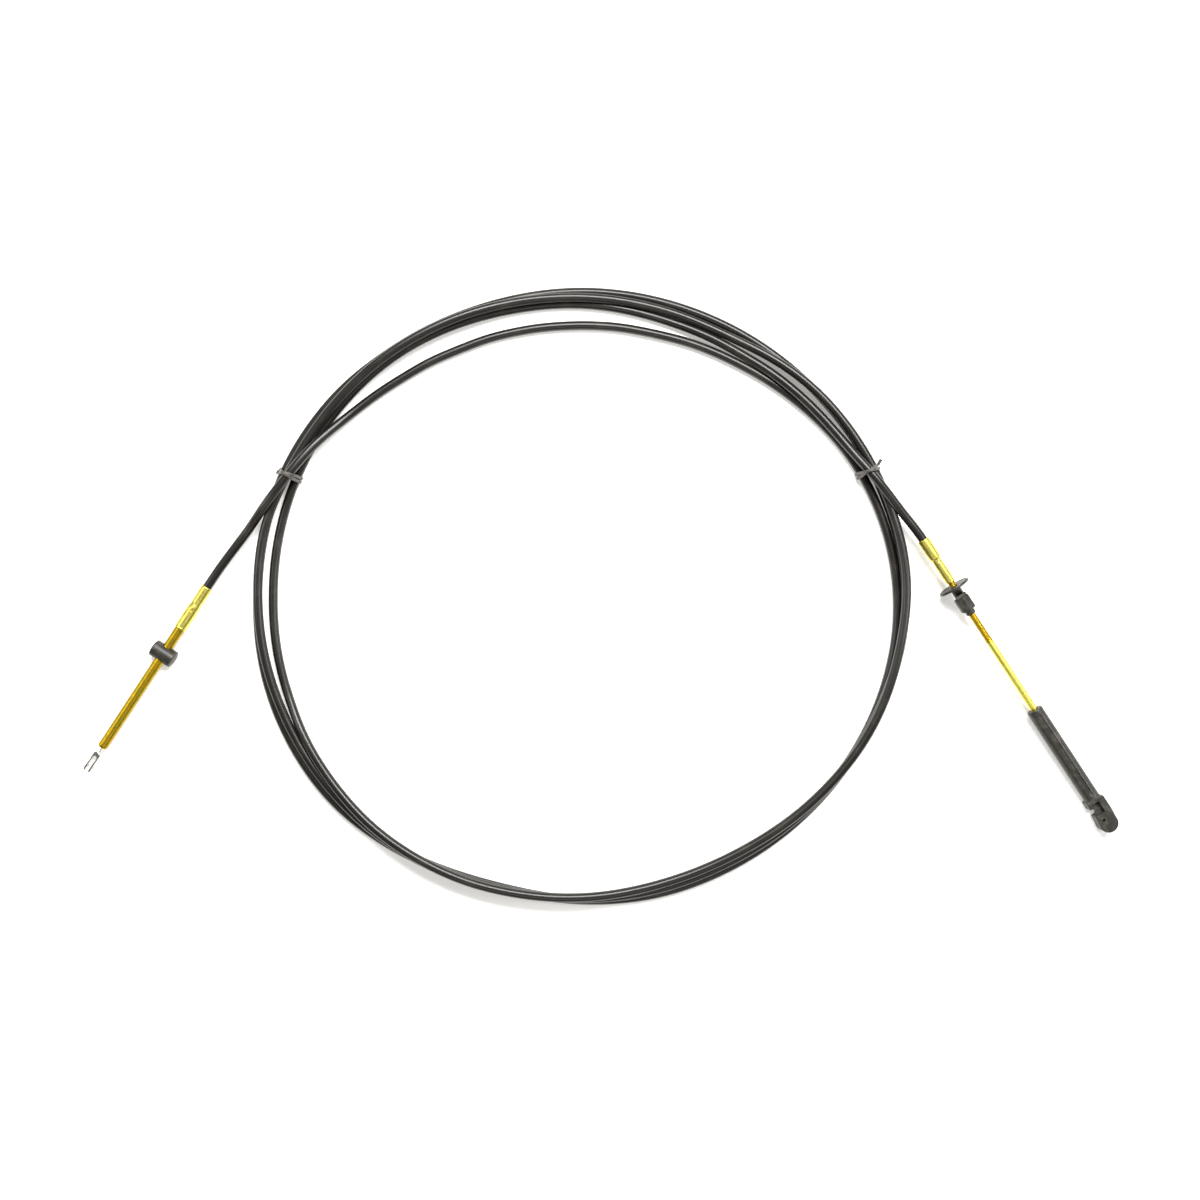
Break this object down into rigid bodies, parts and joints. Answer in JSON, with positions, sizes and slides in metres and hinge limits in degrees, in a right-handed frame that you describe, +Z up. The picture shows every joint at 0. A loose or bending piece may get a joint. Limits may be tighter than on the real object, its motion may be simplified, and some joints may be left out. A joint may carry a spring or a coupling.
{
  "type": "push-pull boat control cable",
  "caption": "Long black push-pull control cable in a tied coil, with a fork end, a cross barrel, a thumbwheel trunnion and a sliding guide end.",
  "frame": {"origin": "on the floor under the middle of the whole cable's bounding box", "axes": "+X across the coil from the control-box end to the engine end, +Y towards the side of the coil that the ends leave from, +Z up"},
  "size_m": [0.8059, 0.4828, 0.025],
  "materials": {
    "jacket": "satin",
    "tie": "satin",
    "gold_zinc": "bright",
    "dark_zinc": "satin",
    "moulded_black": "moulded",
    "bright_steel": "polished"
  },
  "bodies": {
    "cable": {"cable_coil": "jacket", "cable_run_control": "jacket", "cable_run_engine": "jacket", "tie_left": "tie", "tie_right": "tie", "control_hub": "gold_zinc", "control_tube": "dark_zinc", "control_barrel": "moulded_black", "engine_hub": "gold_zinc", "engine_tube": "dark_zinc"},
    "fork": {"control_fork": "bright_steel"},
    "trunnion": {"trunnion_wheel": "moulded_black"},
    "guide": {"engine_guide": "moulded_black", "engine_rod": "bright_steel"}
  },
  "joints": [
    {"name": "guide_slide", "type": "slide", "parent": "cable", "child": "guide", "axis": [-0.5517, 0.8335, 0.0287], "range_m": [0, 0.076]},
    {"name": "fork_slide", "type": "slide", "parent": "cable", "child": "fork", "axis": [-0.5519, -0.8338, -0.0175], "range_m": [0, 0.076]},
    {"name": "trunnion_turn", "type": "hinge", "parent": "cable", "child": "trunnion", "pos_m": [0.27408, 0.00702, 0.01252], "axis": [0.5517, -0.8335, -0.0287], "continuous": true}
  ],
  "couplings": [
    {"joint": "fork_slide", "follows": "guide_slide", "ratio": 1}
  ]
}
